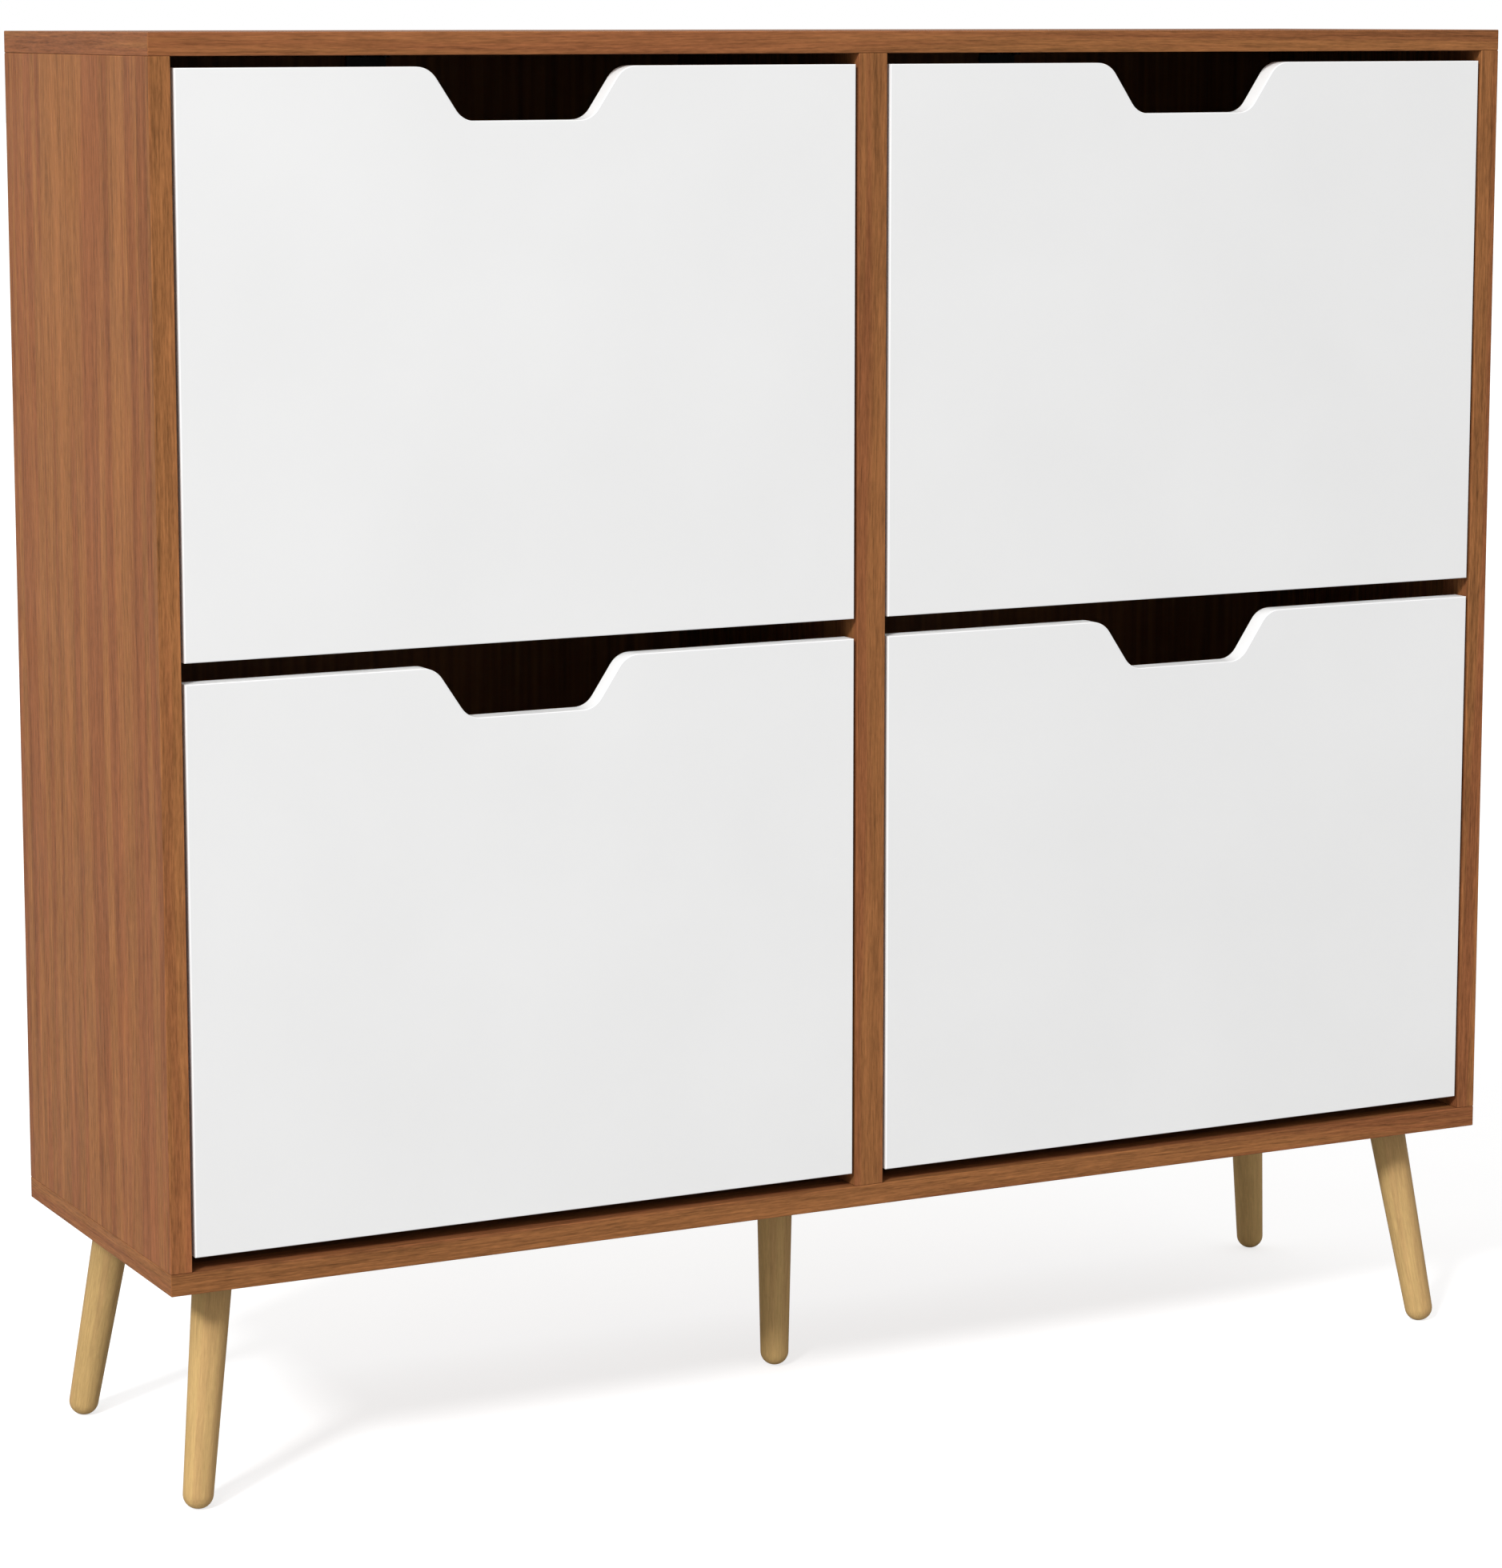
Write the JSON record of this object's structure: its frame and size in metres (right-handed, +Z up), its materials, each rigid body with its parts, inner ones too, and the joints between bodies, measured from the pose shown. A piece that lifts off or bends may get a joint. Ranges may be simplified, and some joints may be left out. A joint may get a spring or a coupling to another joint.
{
  "type": "shoe cabinet",
  "caption": "Slim shoe cabinet with a wood-grain carcass on splayed round legs and white tip-out flaps, each carrying a two-tier shoe rack.",
  "frame": {"origin": "on the floor under the middle of the cabinet", "axes": "+X to the cabinet's right along its length, +Y to its back, +Z up"},
  "size_m": [1.042, 0.292, 0.979],
  "materials": {
    "walnut_board": "wood-grain coated chipboard, satin",
    "white_board": "white coated chipboard, satin",
    "back_sheet": "thin printed fibreboard",
    "rack_board": "wood-grain coated thin board",
    "bracket_plastic": "moulded brown plastic",
    "leg_wood": "clear-lacquered light oak",
    "dowel_wood": "raw beech",
    "black_steel": "black powder coat",
    "zinc_steel": "zinc plated",
    "pin_steel": "turned steel",
    "cast_zinc": "cast zinc"
  },
  "bodies": {
    "cabinet": {"back_sheet_left": "back_sheet", "back_sheet_nails": "zinc_steel", "back_sheet_right": "back_sheet", "bottom_panel": "walnut_board", "cam_bolts": "zinc_steel", "cam_locks": "cast_zinc", "center_divider": "walnut_board", "front_left_leg": "leg_wood", "front_left_leg_plate": "black_steel", "front_right_leg": "leg_wood", "front_right_leg_plate": "black_steel", "leg_plate_screws": "zinc_steel", "leg_studs": "zinc_steel", "middle_leg": "leg_wood", "middle_leg_plate": "black_steel", "pivot_pins": "pin_steel", "rear_left_leg": "leg_wood", "rear_left_leg_plate": "black_steel", "rear_right_leg": "leg_wood", "rear_right_leg_plate": "black_steel", "side_panel_left": "walnut_board", "side_panel_right": "walnut_board", "stop_pins": "pin_steel", "top_panel": "walnut_board", "wall_bracket_screws": "zinc_steel", "wall_brackets": "black_steel", "wood_dowels": "dowel_wood"},
    "lower_left_flap": {"lower_left_bracket_left": "bracket_plastic", "lower_left_bracket_right": "bracket_plastic", "lower_left_flap_panel": "white_board", "lower_left_front_shelf": "rack_board", "lower_left_middle_board": "rack_board", "lower_left_rack_screws": "zinc_steel", "lower_left_rear_board": "rack_board", "lower_left_rear_shelf": "rack_board"},
    "lower_right_flap": {"lower_right_bracket_left": "bracket_plastic", "lower_right_bracket_right": "bracket_plastic", "lower_right_flap_panel": "white_board", "lower_right_front_shelf": "rack_board", "lower_right_middle_board": "rack_board", "lower_right_rack_screws": "zinc_steel", "lower_right_rear_board": "rack_board", "lower_right_rear_shelf": "rack_board"},
    "upper_left_flap": {"upper_left_bracket_left": "bracket_plastic", "upper_left_bracket_right": "bracket_plastic", "upper_left_flap_panel": "white_board", "upper_left_front_shelf": "rack_board", "upper_left_middle_board": "rack_board", "upper_left_rack_screws": "zinc_steel", "upper_left_rear_board": "rack_board", "upper_left_rear_shelf": "rack_board"},
    "upper_right_flap": {"upper_right_bracket_left": "bracket_plastic", "upper_right_bracket_right": "bracket_plastic", "upper_right_flap_panel": "white_board", "upper_right_front_shelf": "rack_board", "upper_right_middle_board": "rack_board", "upper_right_rack_screws": "zinc_steel", "upper_right_rear_board": "rack_board", "upper_right_rear_shelf": "rack_board"}
  },
  "joints": [
    {"name": "lower_left_tilt", "type": "hinge", "parent": "cabinet", "child": "lower_left_flap", "pos_m": [-0.2585, -0.119, 0.2255], "axis": [1, 0, 0], "range_deg": [0, 50]},
    {"name": "lower_right_tilt", "type": "hinge", "parent": "cabinet", "child": "lower_right_flap", "pos_m": [0.2585, -0.119, 0.2255], "axis": [1, 0, 0], "range_deg": [0, 50]},
    {"name": "upper_left_tilt", "type": "hinge", "parent": "cabinet", "child": "upper_left_flap", "pos_m": [-0.2585, -0.119, 0.6205], "axis": [1, 0, 0], "range_deg": [0, 50]},
    {"name": "upper_right_tilt", "type": "hinge", "parent": "cabinet", "child": "upper_right_flap", "pos_m": [0.2585, -0.119, 0.6205], "axis": [1, 0, 0], "range_deg": [0, 50]}
  ]
}
